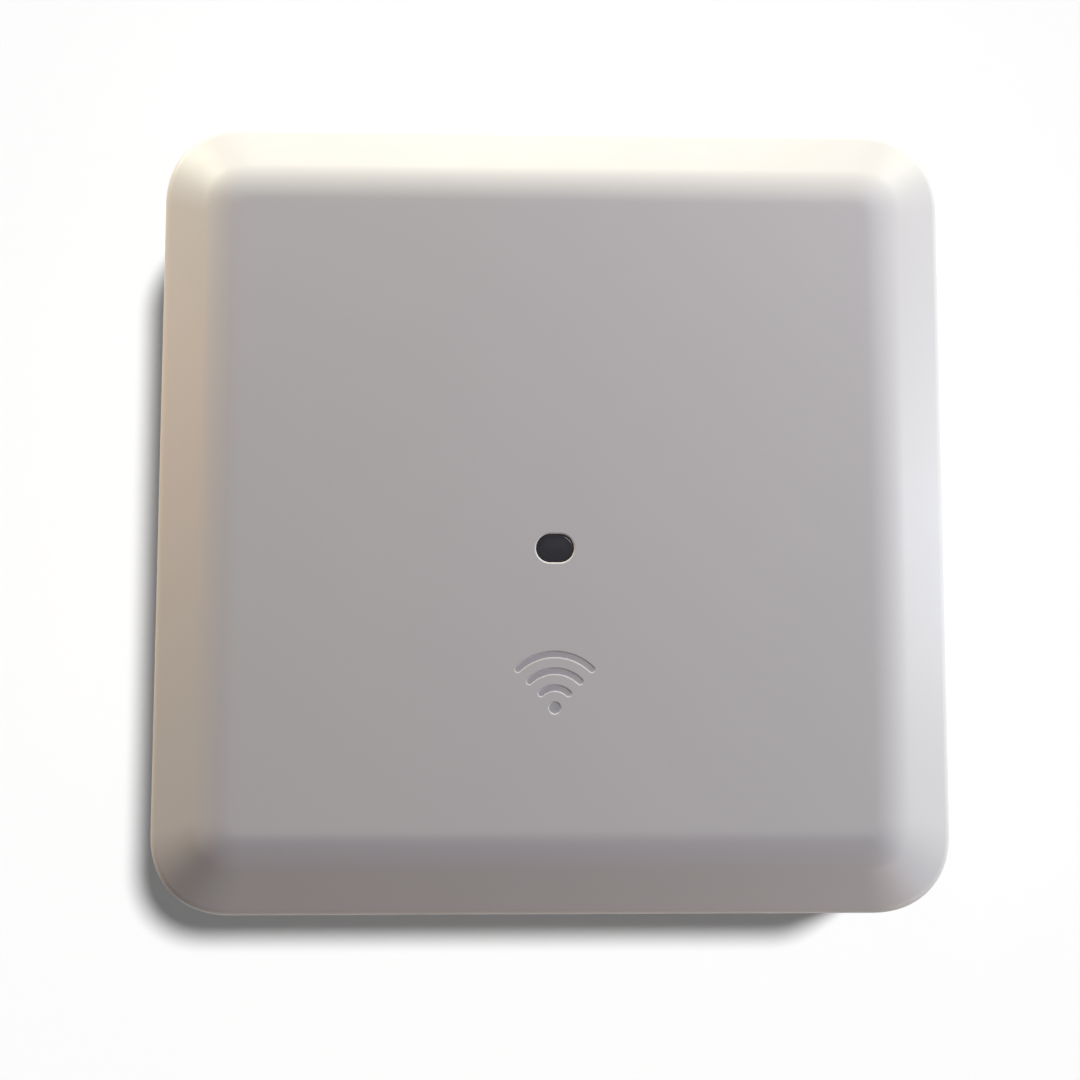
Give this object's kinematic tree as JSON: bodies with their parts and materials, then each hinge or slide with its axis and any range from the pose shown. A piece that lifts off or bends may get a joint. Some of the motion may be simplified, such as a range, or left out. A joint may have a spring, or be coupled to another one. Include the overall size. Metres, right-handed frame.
{
  "type": "ceiling access point",
  "caption": "Flat square wireless access point with rounded corners, a slanted border, a pill-shaped status window, a finned base with a port bay, and a slide-on ceiling bracket.",
  "frame": {"origin": "centre of the footprint in the ceiling plane, under the bracket's feet", "axes": "+Z out of the cover's face, away from the ceiling; +Y towards the port bay; +X to the right seen from the front"},
  "size_m": [0.22, 0.22, 0.062],
  "materials": {
    "cover_plastic": "fine moulded texture, satin matt, slightly cool white",
    "lens_plastic": "smoked translucent plastic, polished",
    "clear_acrylic": "clear moulded acrylic",
    "gasket_foam": "soft closed-cell foam",
    "cast_aluminium": "die-cast, fine grain, matt",
    "zinc_steel": "pressed steel sheet, zinc plated",
    "spring_steel": "spring steel strip",
    "screw_steel": "plated machine screws, studs and rivets",
    "tin_plate": "bright tin-plated sheet",
    "circuit_board": "green solder mask over glass laminate",
    "thermal_pad": "soft grey-blue gap filler",
    "jack_plastic": "black moulded connector body",
    "dark_plastic": "dark moulded plastic",
    "ferrite": "sintered ferrite core and taped winding",
    "capacitor_sleeve": "shrunk plastic sleeve",
    "coax_jacket": "thin coaxial jacket with a push-fit plug",
    "label_film": "blank printed-film label",
    "lamp_lens": "diffused light-emitting diode"
  },
  "bodies": {
    "access_point": {"front_cover": "cover_plastic", "status_lens": "lens_plastic", "light_pipe": "clear_acrylic", "cover_seal": "gasket_foam", "base_casting": "cast_aluminium", "rating_label": "label_film", "main_board": "circuit_board", "status_lamp": "lamp_lens", "poe_jack": "jack_plastic", "aux_jack": "jack_plastic", "console_jack": "jack_plastic", "usb_socket": "tin_plate", "dc_power_socket": "jack_plastic", "mode_switch": "dark_plastic", "poe_transformer": "ferrite", "filter_capacitor": "capacitor_sleeve", "antenna_tray": "tin_plate", "processor_shield": "tin_plate", "processor_thermal_pad": "thermal_pad", "radio_left_shield": "tin_plate", "radio_left_thermal_pad": "thermal_pad", "radio_right_shield": "tin_plate", "radio_right_thermal_pad": "thermal_pad", "dual_band_antenna_1": "tin_plate", "dual_band_antenna_2": "tin_plate", "dual_band_antenna_3": "tin_plate", "dual_band_antenna_4": "tin_plate", "high_band_antenna_1": "tin_plate", "high_band_antenna_2": "tin_plate", "high_band_antenna_3": "tin_plate", "high_band_antenna_4": "tin_plate", "antenna_lead_1": "coax_jacket", "antenna_lead_2": "coax_jacket", "antenna_lead_3": "coax_jacket", "antenna_lead_4": "coax_jacket", "antenna_lead_5": "coax_jacket", "antenna_lead_6": "coax_jacket", "antenna_lead_7": "coax_jacket", "antenna_lead_8": "coax_jacket", "board_screw_1": "screw_steel", "board_screw_2": "screw_steel", "board_screw_3": "screw_steel", "board_screw_4": "screw_steel", "tray_screw_1": "screw_steel", "tray_screw_2": "screw_steel", "tray_screw_3": "screw_steel", "tray_screw_4": "screw_steel", "cover_screw_1": "screw_steel", "cover_screw_2": "screw_steel", "cover_screw_3": "screw_steel", "cover_screw_4": "screw_steel", "mount_stud_1": "screw_steel", "mount_stud_2": "screw_steel", "mount_stud_3": "screw_steel", "mount_stud_4": "screw_steel"},
    "mounting_bracket": {"mounting_bracket": "zinc_steel", "leaf_rivet_1": "screw_steel", "leaf_rivet_2": "screw_steel"},
    "detent_leaf": {"detent_leaf": "spring_steel"},
    "mode_button": {"mode_button": "dark_plastic"}
  },
  "joints": [
    {"name": "bracket_slide", "type": "slide", "parent": "access_point", "child": "mounting_bracket", "axis": [0, 1, 0], "range_m": [0, 0.012]},
    {"name": "detent_flex", "type": "hinge", "parent": "mounting_bracket", "child": "detent_leaf", "pos_m": [0, -0.061, 0.0042], "axis": [-1, 0, 0], "range_deg": [0, 2.5]},
    {"name": "mode_button_press", "type": "slide", "parent": "access_point", "child": "mode_button", "axis": [0, -1, 0], "range_m": [0, 0.0008], "stiffness_N_per_m": 2000}
  ],
  "couplings": [
    {"joint": "detent_flex", "follows": "bracket_slide", "rad_per_m": 3.5}
  ]
}
